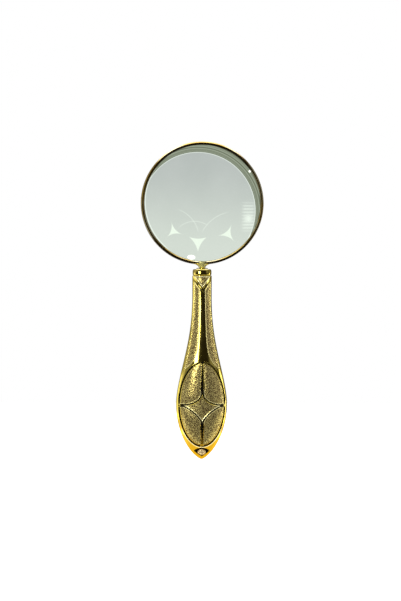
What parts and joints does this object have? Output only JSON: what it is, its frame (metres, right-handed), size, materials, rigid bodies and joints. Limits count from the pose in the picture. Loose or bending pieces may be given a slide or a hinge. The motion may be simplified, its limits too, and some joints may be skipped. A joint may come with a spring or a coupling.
{
  "type": "hand magnifier",
  "caption": "Round glass magnifying lens in a slim rim, on an upright hollow handle with relief panels, an oval medallion and a threaded neck.",
  "frame": {"origin": "the grip: middle of the handle's oval medallion, on the plane where the two shells meet", "axes": "+Z from the handle's tip towards the lens, -Y out of the front face, X across the handle; the lens axis is along Y"},
  "size_m": [0.078, 0.0128, 0.2013],
  "materials": {
    "gold_polished": "polished gold plate",
    "gold_relief": "gold plate, polished borders and stippled panels",
    "lens_glass": "polished clear glass",
    "pale_liner": "soft pale plastic strip",
    "turned_brass": "turned brass, unplated",
    "plain_steel": "plain steel pin",
    "core_resin": "cast resin filler"
  },
  "bodies": {
    "handle": {"handle_front_shell": "gold_relief", "handle_back_shell": "gold_relief", "handle_core": "core_resin", "ferrule": "gold_polished", "socket_bush": "turned_brass", "bush_pin": "plain_steel", "dowel_upper": "plain_steel", "dowel_left": "plain_steel", "dowel_right": "plain_steel", "tip_rivet": "gold_polished", "tip_washer": "gold_polished"},
    "washer": {"stem_washer": "gold_polished"},
    "head": {"neck_funnel": "gold_polished", "neck_stud": "turned_brass", "rim_channel": "gold_polished", "lens_liner": "pale_liner", "lens": "lens_glass"}
  },
  "joints": [
    {"name": "thread_lift", "type": "slide", "parent": "handle", "child": "washer", "axis": [0, 0, 1], "range_m": [0, 0.0086]},
    {"name": "head_turn", "type": "hinge", "parent": "washer", "child": "head", "pos_m": [0, 0, 0.0856], "axis": [0, 0, 1], "range_deg": [0, 4410]}
  ],
  "couplings": [
    {"joint": "thread_lift", "follows": "head_turn", "m_per_rad": 0.00011141}
  ]
}
